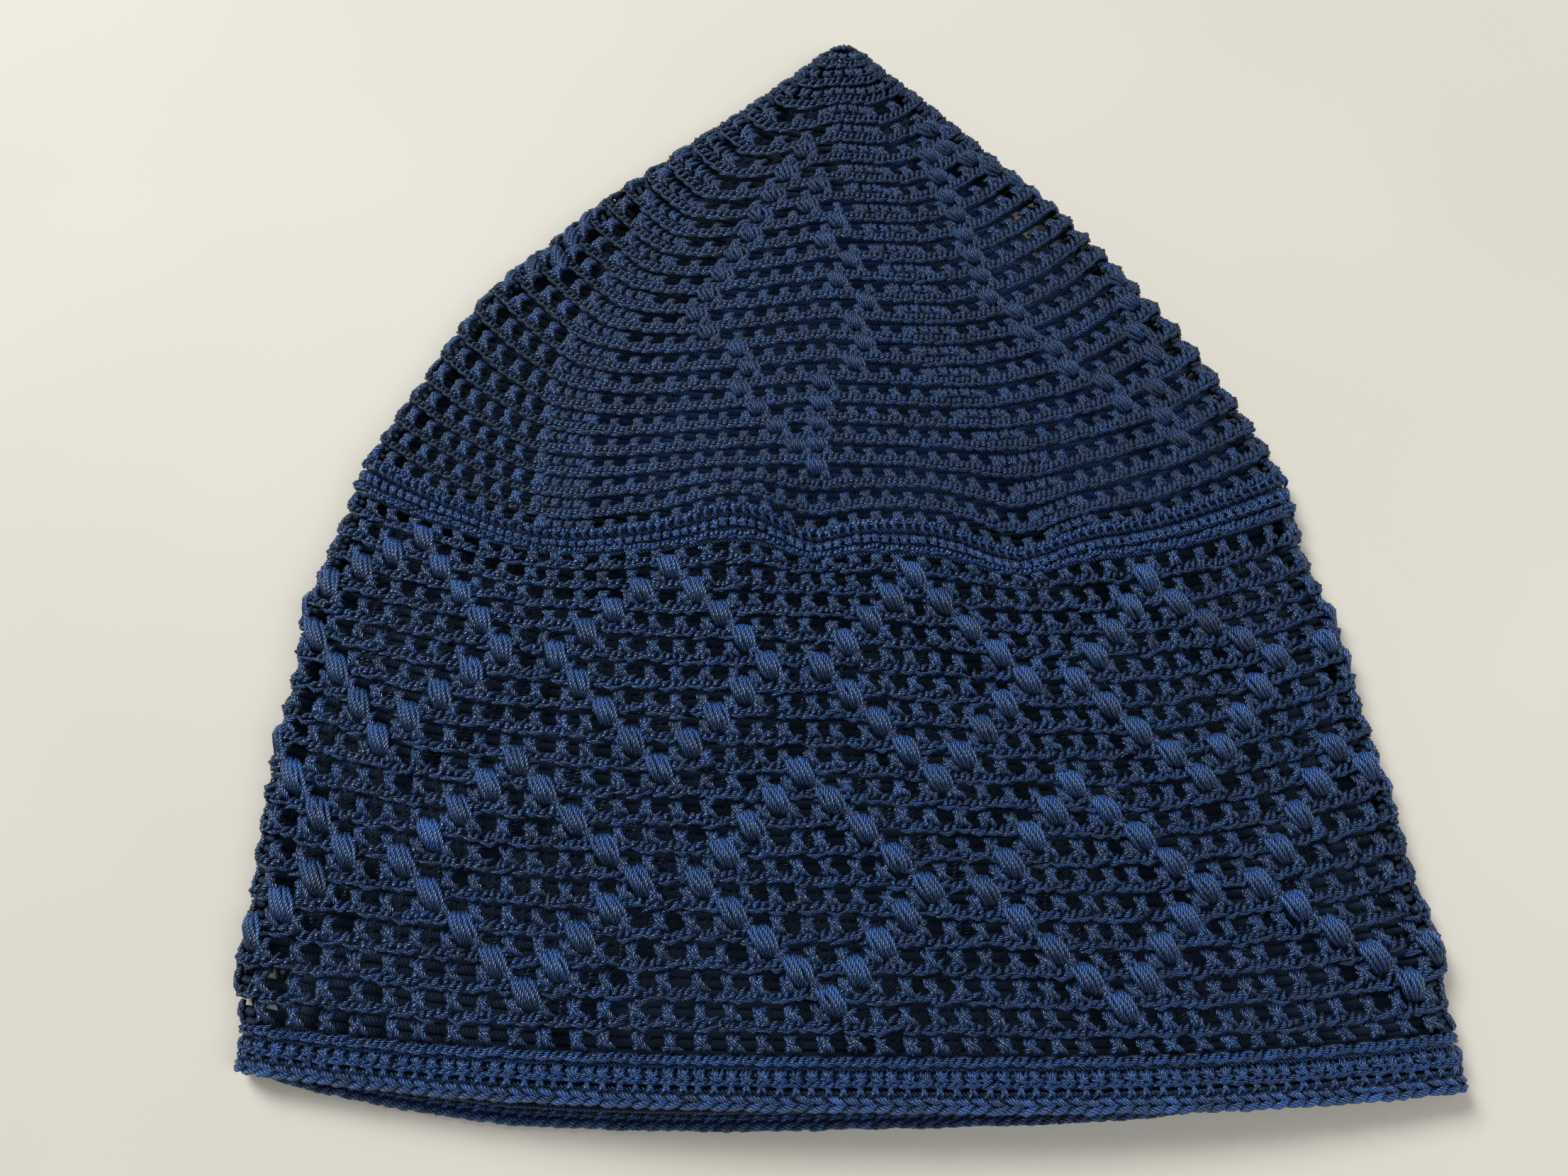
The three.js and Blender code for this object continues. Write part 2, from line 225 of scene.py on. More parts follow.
def cloth(turn, rounds, height, lowest):
    """Places on the cloth (m). turn runs once round from the left fold over the front layer, rounds counts
    from the mouth, height (mm) stands out of the middle of the wall, and lowest (mm) is the least height
    above the floor. Rounds past the tip gather towards its middle."""
    turn = np.mod(turn, 1.0)
    on_front = turn < RIGHT_FOLD
    from_bar = np.where(rounds < WELT_TOP, rounds - SIDE_TOP, rounds - TIP_ROUND)
    rounds = rounds - drift(turn * CELLS, rounds)
    columns = np.moveaxis(section_at(np.clip(rounds, 0, TIP_ROUND)), -1, 0)
    left_x, left_y, right_x, right_y, front_y, back_y, top, fold_height = columns

    radius = fold_height / 2
    quarter = np.pi * radius / 2
    flat = right_x - left_x - 2 * radius
    half = flat + 2 * quarter
    from_left = 2 * half * np.where(on_front, turn, 1 - turn)
    from_right = half - from_left
    from_fold = np.minimum(from_left, from_right)
    inner = radius - WALL / 2 + pressed_height(height, rounds, from_bar, from_fold)
    left_bend = np.clip(from_left, 0, quarter) / radius
    right_bend = np.clip(from_right, 0, quarter) / radius
    along_flat = np.clip(from_left - quarter, 0, flat)
    x = left_x + radius + along_flat + inner * (np.cos(right_bend) - np.cos(left_bend))
    rise = inner * np.minimum(np.sin(left_bend), np.sin(right_bend))

    centre_x = (left_x + right_x) / 2
    across = (x - centre_x) / (right_x - centre_x)
    belly = np.maximum(1 - across**2, 0)
    bow = np.maximum(1 - np.abs(across)**ROW_POWER, 0)
    toward_mouth, lift = buckle_push(x, rounds)
    mean_y = (left_y + right_y) / 2
    y = mean_y + across * (right_y - left_y) / 2 + (np.where(on_front, front_y, back_y) - mean_y) * bow
    y = y - np.where(on_front, toward_mouth * np.sqrt(belly), 0)
    front_z = radius + rise + (top - fold_height) * belly**DOME_POWER + lift * np.sqrt(belly)
    z = np.where(on_front, front_z, np.maximum(radius - rise, lowest))
    x = x + fold_push(rounds, from_left, from_right)

    past_tip = np.clip(rounds - TIP_ROUND, 0, 1)
    x = x + (centre_x - x) * past_tip
    y = y + np.minimum(rounds, 0) * BELOW_MOUTH + past_tip * TIP_BULGE
    z = z + (radius - z) * past_tip
    return np.stack([x, y, z], axis=-1) * MM


# Yarn strands


def strand_frames(paths, radius, closed):
    """Places along strands, and the directions out of the wall and sideways at each of them."""
    turn, rounds, height = np.moveaxis(paths, -1, 0)
    places = cloth(turn, rounds, height, radius)
    outward = cloth(turn, rounds, height + OUTWARD_STEP, radius) - places
    on_floor = np.abs(outward).sum(-1, keepdims=True) < LEAST_STEP
    outward = np.where(on_floor, DOWN, outward)
    ahead = np.roll(places, -1, axis=1)
    behind = np.roll(places, 1, axis=1)
    if not closed:
        ahead[:, -1] = places[:, -1]
        behind[:, 0] = places[:, 0]
    tangent = unit(ahead - behind)
    normal = unit(outward - (outward * tangent).sum(-1, keepdims=True) * tangent)
    return places, normal, np.cross(tangent, normal)


def yarn_uvs(places, shape):
    """Length along each strand, in turns of its plies, and turn round it, at the corners of its faces.
    shape counts strands, stretches between points, sides and corners."""
    strands, stretches, sides = shape[:3]
    steps = np.linalg.norm(np.roll(places, -1, axis=1) - places, axis=-1)
    length = np.concatenate([np.zeros((strands, 1)), np.cumsum(steps, axis=1)], axis=1) / (PLY_TURN * MM)
    length = length + random.random((strands, 1))
    start = length[:, :stretches, None]
    end = length[:, 1:stretches + 1, None]
    along = np.stack([start, start, end, end], axis=-1)
    around = np.arange(sides) / sides
    around = np.stack([around, around + 1 / sides, around + 1 / sides, around], axis=-1)
    return np.stack([np.broadcast_to(along, shape), np.broadcast_to(around, shape)], axis=-1)


class Strands:
    """Gathers strands of yarn and joins them into one mesh."""

    def __init__(self):
        self.points = []
        self.corners = []
        self.sizes = []
        self.uvs = []
        self.shades = []
        self.count = 0

    def sweep(self, paths, radius, sides, shades, closed=False, inward_painted_shade=INWARD_PAINTED_SHADE):
        """Adds tubes along paths: an array of strands, points and (turn, round, height).
        shades holds a tone for each point of each strand."""
        places, normal, side = strand_frames(paths, radius, closed)
        strands, stops = places.shape[:2]
        radii = np.full((strands, stops), radius * MM)
        if not closed:
            radii[:, [0, -1]] *= END_TAPER
        angle = 2 * np.pi * np.arange(sides) / sides
        ring = normal[:, :, None] * np.cos(angle)[:, None] + side[:, :, None] * np.sin(angle)[:, None]
        tube = places[:, :, None] + radii[:, :, None, None] * ring
        # painted shade: the side of each strand that faces into the cap is darkened
        inward = (1 - np.cos(angle)) / 2
        tones = np.broadcast_to(shades, (strands, stops))[..., None] - inward_painted_shade * inward
        index = self.count + np.arange(strands * stops * sides).reshape(strands, stops, sides)
        low = index if closed else index[:, :-1]
        high = np.roll(index, -1, axis=1) if closed else index[:, 1:]
        quads = np.stack([low, np.roll(low, -1, axis=2), np.roll(high, -1, axis=2), high], axis=-1)
        self.points.append(tube.reshape(-1, 3))
        self.shades.append(tones.ravel())
        self.add_faces(quads.reshape(-1, 4), yarn_uvs(places, quads.shape).reshape(-1, 2))
        if not closed:
            caps = np.concatenate([index[:, 0, ::-1], index[:, -1]])
            self.add_faces(caps, np.zeros((caps.size, 2)))
        self.count += index.size

    def add_faces(self, faces, uvs):
        self.corners.append(faces.ravel())
        self.sizes.append(np.full(len(faces), faces.shape[1]))
        self.uvs.append(uvs)

    def triangles(self):
        return int((np.concatenate(self.sizes) - 2).sum())

    def mesh(self, name):
        """The strands as one mesh, with the map of their plies and their shades."""
        corners, sizes = np.concatenate(self.corners), np.concatenate(self.sizes)
        mesh = bpy.data.meshes.new(name)
        mesh.vertices.add(self.count)
        mesh.vertices.foreach_set("co", np.concatenate(self.points).astype(np.float32).ravel())
        mesh.loops.add(len(corners))
        mesh.loops.foreach_set("vertex_index", corners.astype(np.int32))
        mesh.polygons.add(len(sizes))
        mesh.polygons.foreach_set("loop_start", (np.cumsum(sizes) - sizes).astype(np.int32))
        layer = mesh.uv_layers.new(name="yarn")
        layer.uv.foreach_set("vector", np.concatenate(self.uvs).astype(np.float32).ravel())
        shade = mesh.attributes.new("shade", "FLOAT", "POINT")
        shade.data.foreach_set("value", np.concatenate(self.shades).astype(np.float32))
        mesh.update(calc_edges=True)
        mesh.validate()
        mesh.shade_smooth()
        return mesh


def seen(turn):
    """The turns that show."""
    turn = np.mod(turn, 1.0)
    return turn[(turn < UNDER_TURNS[0]) | (turn > UNDER_TURNS[1])]


def hidden(turn):
    """The turns that lie underneath."""
    turn = np.mod(turn, 1.0)
    return turn[(turn >= UNDER_TURNS[0]) & (turn <= UNDER_TURNS[1])]


def lay_stitches(strands, shape, turn, rounds, width, tall=1.0, radius=YARN, sides=SEEN_SIDES,
                 shade=PLAIN_SHADE, lift=0.0, loose=1.0, inward_painted_shade=INWARD_PAINTED_SHADE):
    """Lays one stitch at each turn. shape lists the stitch's strands, each a row of points:
    across in stitch widths, along in stitch heights, and height out of the wall (mm).
    width (turns) and tall (rounds) are the size of each stitch, shade is its tone or the tones of its
    points, lift (mm) raises it, loose makes it less even, and the last argument sets how much shade is
    painted on its inner side."""
    count = len(turn)
    if not count:
        return
    slide = loose * random.normal(0, SLIDE, (count, 1, 3))
    tone = random.normal(0, TONE_SPREAD, (count, 1))
    for strand in shape:
        paths = np.array(strand) + slide + loose * random.normal(0, BEND, (count, len(strand), 3))
        paths[..., 0] = turn[:, None] + paths[..., 0] * width
        paths[..., 1] = rounds + paths[..., 1] * tall
        paths[..., 2] += lift
        shades = np.array(shade) + tone + random.normal(0, TONE_SPREAD, (count, 1))
        strands.sweep(paths, radius, sides, shades, inward_painted_shade=inward_painted_shade)


def lay_round(strands, shape, turn, rounds, width, tall=1.0, radius=YARN, shade=PLAIN_SHADE, loose=1.0):
    """Lays stitches on both layers, with fewer faces on the one underneath, whose inner side shows."""
    lay_stitches(strands, shape, seen(turn), rounds, width, tall, radius, shade=shade, loose=loose)
    lay_stitches(strands, shape, hidden(turn), rounds, width, tall, radius, UNDER_SIDES, inward_painted_shade=0.0)


def lay_cord(strands, rounds, height, radius, turns=ALL_ROUND, shade=CORD_SHADE, left_fade=FOLD_FADE):
    """Lays one yarn along a round, closed where it runs all the way. It is dark behind the front layer and
    at the folds, and takes on its shade underneath, from the left fold over left_fade (mm); for the pressed
    yarns and the back rim's inner cords that shade is painted light."""
    loop = loop_length(rounds)
    span = turns[1] - turns[0]
    closed = span == 1.0
    stops = max(int(span * loop / CORD_STOP), CORD_LEAST_STOPS)
    turn = np.linspace(*turns, stops, endpoint=not closed)
    path = np.stack([turn, np.full(stops, rounds), np.full(stops, height)], axis=-1)
    tones = (min(shade, FOLD_SHADE), shade)
    at_right = np.interp((turn - RIGHT_FOLD) * loop, FOLD_FADE, tones)
    at_left = np.interp((1 - turn) * loop, left_fade, tones)
    strands.sweep(path[None], radius, UNDER_SIDES, np.minimum(at_right, at_left), closed)


def lay_under(under, low_round, shade=UNDER_PAINTED_LIGHT, thin_turns=None, left_fade=FOLD_FADE):
    """Lays the pressed yarns of a round. Where thin_turns are given, the thin one keeps to them."""
    past = UNDER_PAST / loop_length(low_round)
    for along in UNDER_CORDS:
        turns = (RIGHT_FOLD - past, 1 + past)
        if thin_turns and along == THIN_CORD:
            turns = (max(turns[0], thin_turns[0]), min(turns[1], thin_turns[1]))
        lay_cord(under, low_round + along, 0.0, UNDER_YARN, turns, shade, left_fade)


# Stitches: across (widths), along (heights), height out of the wall (mm)

POST = (
    ((0.04, 0.26, 0.60), (-0.04, 0.46, 1.05), (-0.12, 0.62, 0.75), (-0.17, 0.82, -0.60)),
    ((-0.04, 0.26, 0.60), (0.05, 0.47, 1.10), (0.13, 0.63, 0.80), (0.18, 0.82, -0.60)),
    ((0.02, 0.04, 0.50), (0.00, 0.34, 1.20), (0.01, 0.62, 1.00), (0.01, 0.86, -0.60)),
    ((-0.06, 0.46, 0.40), (0.09, 0.36, 1.20), (0.20, 0.22, 1.10), (0.34, 0.06, 0.35)),
    ((0.05, 0.42, 0.40), (-0.08, 0.32, 1.05), (-0.13, 0.18, 0.95), (-0.17, 0.03, 0.30)),
    ((-0.16, 0.52, 0.20), (-0.05, 0.46, 1.35), (0.07, 0.41, 1.35), (0.16, 0.34, 0.20)),
)
UNDER_POST = (
    ((0.00, 0.00, 0.0), (-0.06, 0.50, 0.0), (-0.20, 1.00, 0.0)),
    ((0.05, 0.00, 0.0), (0.10, 0.50, 0.0), (0.22, 1.00, 0.0)),
)
BAR = (
    ((-0.58, -0.15, 0.20), (-0.26, 0.00, 1.10), (0.04, 0.15, 0.20)),
    ((-0.06, -0.13, 0.20), (0.24, 0.02, 1.10), (0.56, 0.17, 0.20)),
    ((-0.66, -0.14, 0.30), (-0.05, -0.17, 0.80), (0.66, -0.10, 0.30)),
)
DENSE = (
    ((0.10, 0.14, 0.30), (-0.08, 0.38, 0.90), (-0.22, 0.60, 0.70), (-0.30, 0.92, -0.40)),
    ((-0.10, 0.14, 0.30), (0.08, 0.38, 0.95), (0.22, 0.60, 0.70), (0.30, 0.92, -0.40)),
    ((0.00, 0.22, 0.40), (0.01, 0.48, 1.15), (0.00, 0.70, 0.80), (0.00, 0.95, -0.40)),
    ((-0.42, 0.30, 0.20), (-0.12, 0.28, 1.10), (0.15, 0.22, 1.10), (0.44, 0.12, 0.20)),
)
SOLID = (
    ((0.04, 0.12, 0.45), (-0.12, 0.34, 1.00), (-0.22, 0.50, 0.75), (-0.28, 0.72, -0.70)),
    ((-0.04, 0.12, 0.45), (0.14, 0.34, 1.00), (0.24, 0.50, 0.75), (0.28, 0.72, -0.70)),
    ((-0.44, 0.34, 0.25), (-0.10, 0.31, 1.05), (0.15, 0.27, 1.05), (0.46, 0.20, 0.25)),
)
BRAID = (
    ((-0.46, 0.76, 0.00), (-0.18, 0.70, 0.90), (0.20, 0.56, 1.00), (0.56, 0.38, 0.30)),
    ((-0.62, 0.02, 0.10), (-0.20, 0.07, 0.95), (0.25, 0.22, 1.05), (0.66, 0.42, 0.40)),
)
INNER_BUMP = (
    ((-0.50, 0.30, -0.30), (-0.20, 0.22, -0.75), (0.20, 0.10, -0.75), (0.50, 0.02, -0.30)),
    ((-0.30, 1.00, -0.20), (-0.10, 0.82, -0.70), (0.10, 0.62, -0.70), (0.30, 0.44, -0.20)),
)
TENT = (
    ((0.02, 1.0, 0.30), (-0.08, 0.5, 0.85), (-0.30, 0.0, 0.30)),
    ((-0.02, 1.0, 0.30), (0.10, 0.5, 0.90), (0.26, 0.0, 0.30)),
)
ARC = (
    ((0.30, 1.00, 0.60), (0.02, 0.78, 1.45), (-0.10, 0.50, 1.60), (-0.02, 0.22, 1.25), (0.30, 0.00, 0.50)),
)
TIP_LOOP = (
    ((0.0, 0.0, 0.4), (0.1, 0.4, 0.8), (-0.1, 0.8, 0.6), (0.0, 1.0, 0.2)),
)

# A puff: the rows below go from its low end to its top

PUFF_STRANDS = 5
PUFF_SPREAD = 0.33           # half of the width in the middle
PUFF_YARN = 0.54
PUFF_LOOSE = 0.7
PUFF_ALONG = (-0.30, -0.14, 0.12, 0.40, 0.66, 0.84)
PUFF_GATHER = (0.30, 0.75, 1.0, 1.05, 0.96, 0.70)   # shares of the spread
PUFF_RISE = (0.0, 1.10, 2.00, 2.10, 1.60, 0.4)      # heights out of the wall
# painted shade and light along a puff, from its low end to its top: painted shade at the low end, and
# painted light lighter than the rest of the yarn towards the top
PUFF_PAINTED_SHADE_AND_LIGHT = (-0.60, -0.05, 0.40, 0.80, 1.20, 1.40)
PUFF_SIDE_RISE = 0.55        # share of the rise that its sides have at least
PUFF_DOME = 1.1              # half width of the dome over its strands, in spreads
PUFF_MIDDLE = 0.30           # place along a puff that lies in its cell's middle
PUFF_LEAN = 0.36             # how far a puff leans to the left on its way up (cells for each round)


def puff_shape():
    """Strands side by side, gathered at both ends and bulging out of the wall."""
    shape = []
    for across in np.linspace(-PUFF_SPREAD, PUFF_SPREAD, PUFF_STRANDS):
        bulge = np.sqrt(1 - (across / (PUFF_DOME * PUFF_SPREAD))**2)
        dome = PUFF_SIDE_RISE + (1 - PUFF_SIDE_RISE) * bulge
        shape.append([
            (across * gather - PUFF_LEAN * (along - PUFF_MIDDLE), along, rise * dome)
            for along, gather, rise in zip(PUFF_ALONG, PUFF_GATHER, PUFF_RISE)
        ])
    return shape


PUFF = puff_shape()
UNDER_PUFF = (PUFF[1], PUFF[-2])


def lay_puffs(puffs, turn, rounds, width, tall=1.0, shade=PUFF_PAINTED_SHADE_AND_LIGHT, lift=0.0):
    """Lays puffs on both layers, with fewer strands on the one underneath."""
    turn_seen = seen(turn)
    lay_stitches(puffs, PUFF, turn_seen, rounds, width, tall, PUFF_YARN, SEEN_SIDES, shade, lift, PUFF_LOOSE)
    lay_stitches(puffs, UNDER_PUFF, hidden(turn), rounds, width, tall, UNDER_YARN, UNDER_SIDES)


def lay_posts(posts, under, turn, low_round, width, tall=1.0, shade=PLAIN_SHADE, lift=0.0, loose=1.0,
              radius=POST_YARN):
    """Lays posts on the layer that shows, and pressed ones on the layer underneath."""
    lay_stitches(posts, POST, seen(turn), low_round, width, tall, radius, SEEN_SIDES, shade, lift, loose)
    lay_stitches(under, UNDER_POST, hidden(turn), low_round, width, radius=UNDER_YARN, sides=UNDER_SIDES)


def lay_bar(bars, rounds, cells, tall=1.0, radius=BAR_YARN, shade=PLAIN_SHADE, lift=0.0, loose=BAR_LOOSE,
            turns=ALL_ROUND):
    """Lays the legs of a bar on the layer that shows: four that slant and two that lie flat in a cell."""
    halves = 2 * cells
    turn = np.arange(halves) / halves
    turn = turn[(turn >= turns[0]) & (turn < turns[1])]
    lay_stitches(bars, BAR, seen(turn), rounds, 1 / halves, tall, radius, SEEN_SIDES, shade, lift, loose)


# The side wall: mesh rounds with two tiers of diamonds in puffs

SIDE_ROWS = 19
SIDE_POST_TALL = 0.84
SIDE_POST_LOOSE = 1.3
DIAMOND_REPEAT = 10          # cells from one diamond to the next
DIAMOND_STEPS = (0, 1, 2, 3, 4, 3, 2, 1, 0)  # cells from a diamond's middle to its puffs, row by row
UPPER_DIAMONDS_FROM = 2      # mesh round of the upper tier's tops
LOWER_DIAMONDS_FROM = 10     # and of the lower tier's, half a repeat along
FIRST_DIAMOND = 2            # cell of the first upper diamond's top
MIDDLE_ROW = 10              # mesh round that the pulled columns are measured in
CORNER_ROWS = 2              # lowest mesh rounds, where the floor shows through at the left fold
CORNER_TURNS = (0.0, 0.976)  # turns that the thin pressed yarn keeps to there
CORNER_POSTS = (78.3, 79.2)  # columns of the strands that cross those gaps


def side_puff_cells(row):
    """Cells of a mesh round that hold a puff."""
    cells = set()
    for first_row, shift in ((UPPER_DIAMONDS_FROM, 0), (LOWER_DIAMONDS_FROM, DIAMOND_REPEAT // 2)):
        step = row - first_row
        if 0 <= step < len(DIAMOND_STEPS):
            for middle in range(FIRST_DIAMOND + shift, CELLS, DIAMOND_REPEAT):
                cells |= {(middle - DIAMOND_STEPS[step]) % CELLS, (middle + DIAMOND_STEPS[step]) % CELLS}
    return np.array(sorted(cells), int)


def side_turn(columns, row):
    """Turns of columns of the chart in a mesh round, as the cloth has pulled them."""
    pulled = np.interp(columns, PULL_COLUMNS, PULL_RIGHT) + LEAN * (row - MIDDLE_ROW)
    return (columns + pulled) / CELLS


def side_wall():
    """Rounds of mesh from the welt down, with puffs in the cells of the diamonds."""
    bars, posts, puffs, under = Strands(), Strands(), Strands(), Strands()
    width = 1 / CELLS
    for row in range(1, SIDE_ROWS + 1):
        low_round = SIDE_TOP - row
        post_turn = side_turn(np.arange(CELLS), row)
        lay_posts(posts, under, post_turn, low_round, width, SIDE_POST_TALL, loose=SIDE_POST_LOOSE)
        if row > SIDE_ROWS - CORNER_ROWS:
            lay_under(under, low_round, thin_turns=CORNER_TURNS)
            lay_stitches(under, UNDER_POST, np.array(CORNER_POSTS) / CELLS, low_round, width)
        else:
            lay_under(under, low_round)
        if row < SIDE_ROWS:
            lay_bar(bars, low_round, CELLS)
        lay_puffs(puffs, side_turn(side_puff_cells(row) + 0.5, row), low_round + 0.5, width)
    return {"side_bars": bars, "side_posts": posts, "side_puffs": puffs, "side_under": under}


# The rim: a braided edge and a dense band, with places in rounds from the mouth

EDGE_STITCHES = 160
EDGE_TALL = 0.56
EDGE_SHADE = 0.85
BRAID_YARN = 0.64
EDGE_BACKING = (0.15, 0.40)  # places of the cords that back the braid
EDGE_CORD_TURNS = (-0.03, 0.53)  # the part of a turn where they back the front layer
EDGE_CORD_HEIGHT = -0.5
EDGE_CORD_YARN = 0.6
INNER_CORD_HEIGHT = -0.1     # the same cords in the back layer, whose inner side shows
INNER_CORD_YARN = 0.7
# painted light: the back rim's inner cords are made lighter, as they lie in the front layer's shadow
INNER_CORD_PAINTED_LIGHT = 1.2
INNER_YARN = 0.65            # the two rows of bumps inside the back layer's rim
# painted light: the bumps inside the back layer's rim are made lighter, as they lie in the front layer's
# shadow
INNER_PAINTED_LIGHT = 0.65
INNER_TALL = 0.34            # height of the second one
TENT_LOW = 0.46              # the slanting strands from the braid to the bar above it
TENT_TALL = 0.46
TENT_YARN = 0.42
TENT_SHADE = 0.8
LOW_BAR = 0.99               # that bar, and the dense stitches on it
LOW_BAR_TALL = 0.6
DENSE_TALL = 0.50
DENSE_YARN = 0.45
DENSE_SHADE = 0.80
ROPE = 1.77                  # the rope at the band's top
ROPE_TALL = 0.75
ROPE_YARN = 0.50
BAND_LOOSE = 1.6
BAND_BACKING = (0.6, 0.9, 1.2, 1.5, 1.8)  # places of the cords behind the band
BAND_CORD_HEIGHT = -0.8
BAND_CORD_YARN = 0.75
# painted shade: the cords behind the band and the welt are darker than other cords, so the gaps between
# rounds show dark
BACKING_PAINTED_SHADE = 0.2


def edge_braid():
    """The braid at the mouth, with bumps on the inner side of the back layer."""
    strands = Strands()
    turn = np.arange(EDGE_STITCHES) / EDGE_STITCHES
    width = 1 / EDGE_STITCHES
    lay_round(strands, BRAID, turn, 0.0, width, EDGE_TALL, BRAID_YARN, EDGE_SHADE)
    lay_stitches(strands, INNER_BUMP, hidden(turn), 0.0, width, EDGE_TALL, INNER_YARN, shade=INNER_PAINTED_LIGHT,
                 inward_painted_shade=0.0)
    for rounds in EDGE_BACKING:
        lay_cord(strands, rounds, EDGE_CORD_HEIGHT, EDGE_CORD_YARN, EDGE_CORD_TURNS)
        lay_cord(strands, rounds, INNER_CORD_HEIGHT, INNER_CORD_YARN, UNDER_TURNS, INNER_CORD_PAINTED_LIGHT)
    return {"edge_braid": strands}


def band():
    """Slanting strands, dense stitches and a rope, from the braid up."""
    strands = Strands()
    turn = (np.arange(EDGE_STITCHES) + 0.5) / EDGE_STITCHES
    width = 1 / EDGE_STITCHES
    lay_round(strands, TENT, turn, TENT_LOW, width, TENT_TALL, TENT_YARN, TENT_SHADE)
    lay_stitches(strands, INNER_BUMP, hidden(turn), EDGE_TALL, width, INNER_TALL, INNER_YARN,
                 shade=INNER_PAINTED_LIGHT, inward_painted_shade=0.0)
    lay_round(strands, DENSE, turn, LOW_BAR, width, DENSE_TALL, DENSE_YARN, DENSE_SHADE, BAND_LOOSE)
    lay_round(strands, BAR, turn, LOW_BAR, width, LOW_BAR_TALL, DENSE_YARN, DENSE_SHADE, BAND_LOOSE)
    lay_round(strands, BAR, turn, ROPE, width, ROPE_TALL, ROPE_YARN, DENSE_SHADE)
    for rounds in BAND_BACKING:
        lay_cord(strands, rounds, BAND_CORD_HEIGHT, BAND_CORD_YARN, shade=BACKING_PAINTED_SHADE)
    return {"band_stitches": strands}


# The welt: dense stitches under a ridge of arched strands and a rope, with places in rounds above the side

WELT_STITCHES = 214
WELT_LOOSE = 1.6
WELT_YARN = 0.45
WELT_BAR = 0.06
WELT_DENSE = 0.30
WELT_DENSE_YARN = 0.48
ARC_TALL = 0.50
ARC_YARN = 0.36
WELT_ROPE_UP = 0.05          # how far the rope lies above the welt's top
WELT_ROPE_TALL = 0.8
WELT_BACKING = (-0.15, 0.1, 0.4, 0.75, 1.1, 1.35)  # places of the cords behind the welt
WELT_CORD_HEIGHT = -0.6
WELT_CORD_YARN = 0.85


def ridge_welt():
    """A bar, dense stitches, arches and a rope, from the side up."""
    strands = Strands()
    turn = np.arange(WELT_STITCHES) / WELT_STITCHES
    width = 1 / WELT_STITCHES
    bar_round = SIDE_TOP + WELT_BAR
    dense_round = SIDE_TOP + WELT_DENSE
    arc_round = WELT_TOP - ARC_TALL
    rope_round = WELT_TOP + WELT_ROPE_UP
    dense_tall = arc_round - dense_round
    lay_round(strands, BAR, turn, bar_round, width, 1.0, WELT_YARN, DENSE_SHADE, WELT_LOOSE)
    lay_round(strands, DENSE, turn, dense_round, width, dense_tall, WELT_DENSE_YARN, DENSE_SHADE, WELT_LOOSE)
    lay_round(strands, ARC, turn, arc_round, width, ARC_TALL, ARC_YARN, DENSE_SHADE)
    lay_round(strands, BAR, turn, rope_round, width, WELT_ROPE_TALL, WELT_YARN, DENSE_SHADE, WELT_LOOSE)
    for along in WELT_BACKING:
        lay_cord(strands, SIDE_TOP + along, WELT_CORD_HEIGHT, WELT_CORD_YARN, shade=BACKING_PAINTED_SHADE)
    return {"welt_stitches": strands}


# The crown: four mesh sectors between solid ladders, with a diamond of puffs in each.
# Its rounds are counted down from the tip

CROWN_ROWS = 24
CROWN_CELL = 4.5             # width of a cell (mm)
CROWN_LEAST_CELLS = 8
# a little darker than the plain shade, as painted shade against the stronger light on the crown
CROWN_SHADE = 0.32
CROWN_LOOSE = 0.8
CROWN_BAR_TALL = 1.2
CROWN_BAR_YARN = 0.60
CROWN_BAR_LIFT = 0.2
CROWN_POST_TALL = 0.72
CROWN_POST_LIFT = -0.2
CROWN_PUFF_WIDTH = 1.2
CROWN_PUFF_TALL = 0.68
CROWN_PUFF_LIFT = -0.4
CROWN_PUFF_SHADE = 0.40
# painted light: the yarns underneath the crown are made much lighter than the plain shade where they show
# through its holes
CROWN_UNDER_PAINTED_LIGHT = 1.4
CROWN_FADE = (14.0, 44.0)    # where the yarns underneath take on that painted light past the left fold
THIN_ROWS = (11, 12, 13)     # rounds where the floor shows through at the right fold
THIN_TURNS = (0.555, 2.0)    # turns that the thin pressed yarn keeps to there

# The tip, closed by solid rounds and gathered by a ring of loops

TIP_ROWS = 3
TIP_LOOPS = 12
TIP_LOOP_DOWN = 0.1          # how far below the tip the loops start
TIP_LOOP_YARN = 0.8
TIP_BAR_ROWS = (2, 9)        # rounds between which the bars grow from thin ones at the tip
TIP_BAR_YARN = 0.44

# Bars and posts of the open mesh between the left fold and the first ladder

OPEN_BAR_TALL = 0.8
OPEN_BAR_YARN = 0.46
OPEN_BAR_SHADE = -0.1
OPEN_BAR_LIFT = -0.35
OPEN_POST_TALL = 0.92
OPEN_POST_YARN = 0.68
OPEN_POST_SHADE = 0.5
OPEN_POST_LIFT = 0.15

# Ladders: places of the first one's middle by rounds, and how far the cloth has pulled two of them
# to the right (turns)

SECTORS = 4
LADDER_WIDTH = 10.0          # mm
LADDER_PITCH = 2.4           # mm
LADDER_STITCHES = round(LADDER_WIDTH / LADDER_PITCH)
LADDER_TALL = 1.03
LADDER_ROWS = (2, 6, 10, 18, 24)
LADDER_TURNS = (0.0, 0.04, 0.065, 0.085, 0.115)
LADDER_PULL_ROWS = (4, 10, 18, 23)
LADDER_PULLS = {0: (0.0, 0.012, 0.010, 0.004), 1: (0.0, 0.0, 0.0, 0.012)}

# Diamonds: how they grow and shrink by rounds, and how far two of them are pulled to the right (cells)

